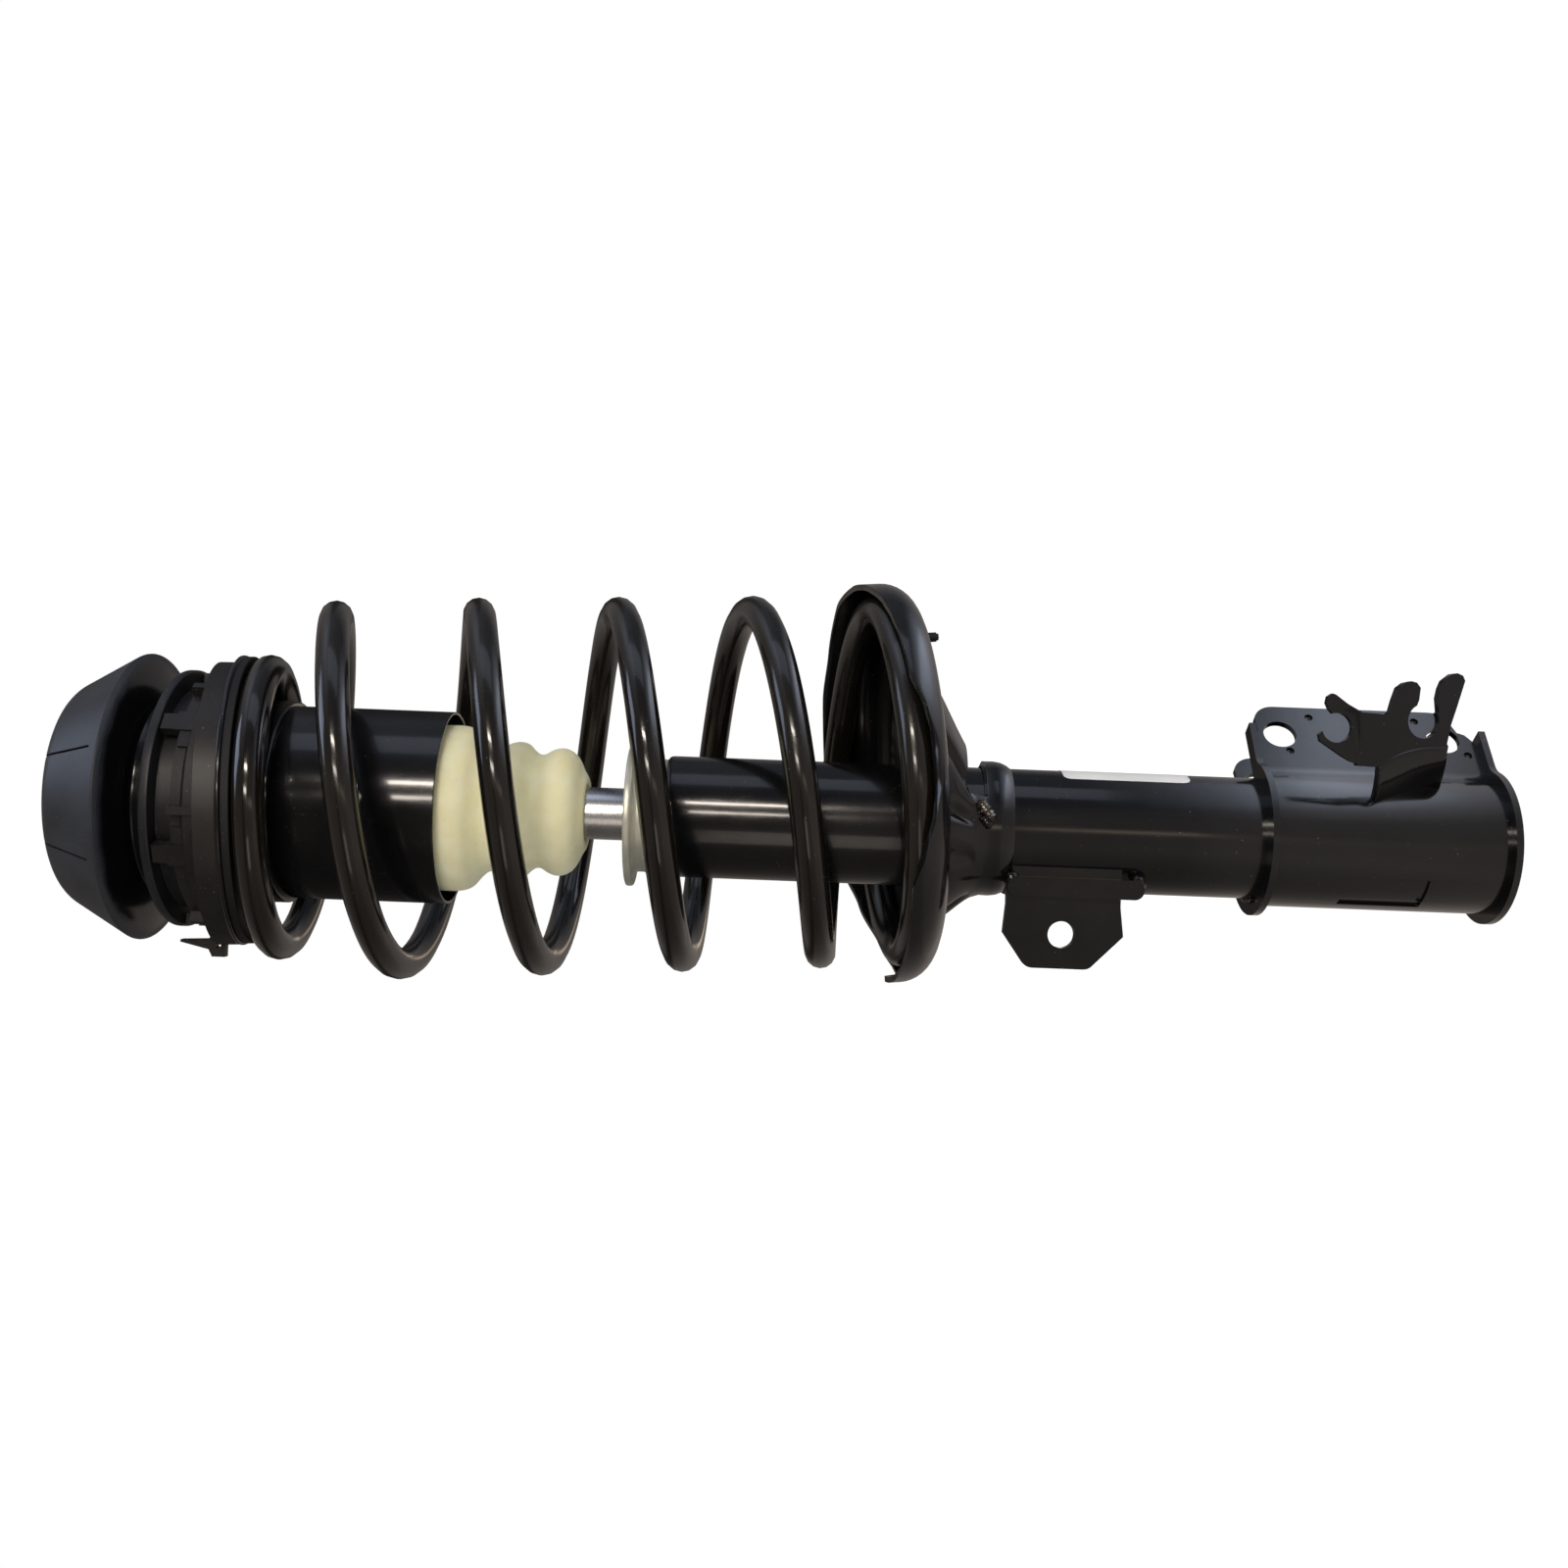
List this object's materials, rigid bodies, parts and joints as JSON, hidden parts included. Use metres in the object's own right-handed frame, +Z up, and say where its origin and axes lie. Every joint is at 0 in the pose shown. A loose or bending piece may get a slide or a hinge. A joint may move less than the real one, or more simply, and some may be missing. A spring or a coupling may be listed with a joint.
{
  "type": "strut assembly",
  "caption": "Front suspension strut assembly with rubber top mount and bearing, offset coil spring, telescopic damper, sway bar tab, hose bracket and clamp-type knuckle bracket.",
  "frame": {"origin": "on the strut's axis at the top face of the rubber mount, where the fixing stud rises", "axes": "+Z up along the strut's axis, out of the mount; +X away from the strut towards the side of the offset lower seat, opposite the sway bar tab; the knuckle bracket's ears point 38 degrees from +X towards +Y; the hose bracket faces -Y"},
  "size_m": [0.1769, 0.1855, 0.605],
  "materials": {
    "moulded_rubber": "satin moulded natural rubber with fine mould texture",
    "stop_rubber": "matte moulded rubber",
    "bare_steel": "machined steel, lightly oiled",
    "ball_steel": "polished bearing steel",
    "spring_steel": "tempered blue-grey strip steel",
    "zinc_steel": "bright zinc plating, faintly yellow",
    "hard_chrome": "ground hard chrome",
    "sintered_iron": "sintered iron, dark and slightly porous",
    "ptfe_band": "filled PTFE, smooth matte",
    "bushing_bronze": "bronze-backed bushing",
    "glass_filled_nylon": "black glass-filled nylon",
    "bearing_plastic": "semi-gloss brown-black moulded plastic",
    "cage_plastic": "natural nylon",
    "cream_urethane": "foamed cream urethane, matte skin",
    "black_ecoat": "black electrocoat, semi-gloss",
    "black_paint": "gloss black paint over steel",
    "black_powder_coat": "gloss black powder coat"
  },
  "bodies": {
    "top_mount": {"mount_rubber": "moulded_rubber", "mount_core": "bare_steel", "mount_washer": "zinc_steel", "mount_nut": "zinc_steel", "bearing_cap": "glass_filled_nylon", "piston_rod": "hard_chrome", "rebound_stop": "stop_rubber", "stop_ring": "bare_steel", "piston": "sintered_iron", "piston_band": "ptfe_band", "valve_discs": "spring_steel", "piston_nut": "zinc_steel"},
    "upper_seat": {"bearing_housing": "bearing_plastic", "bearing_cage": "cage_plastic", "bearing_balls": "ball_steel", "upper_spring_seat": "black_ecoat", "upper_isolator": "stop_rubber", "dust_tube": "black_paint", "bump_stop": "cream_urethane"},
    "strut_body": {"strut_tube": "black_paint", "bottom_cap": "black_paint", "inner_tube": "bare_steel", "base_valve": "sintered_iron", "rod_guide": "sintered_iron", "rod_bushing": "bushing_bronze", "rod_seal": "stop_rubber", "striker_cap": "zinc_steel", "lower_spring_seat": "black_paint", "seat_support": "black_paint", "lower_isolator": "stop_rubber", "coil_spring": "black_powder_coat", "sway_bar_tab": "black_ecoat", "knuckle_bracket": "black_paint", "hose_bracket": "black_ecoat"}
  },
  "joints": [
    {"name": "bearing", "type": "hinge", "parent": "top_mount", "child": "upper_seat", "pos_m": [0, 0, -0.056], "axis": [0, 0, 1], "continuous": true},
    {"name": "strut_travel", "type": "slide", "parent": "upper_seat", "child": "strut_body", "axis": [0, 0, 1], "range_m": [0, 0.09], "stiffness_N_per_m": 22000, "springref_m": -0.003, "deforming": ["coil_spring", "bump_stop"]}
  ]
}
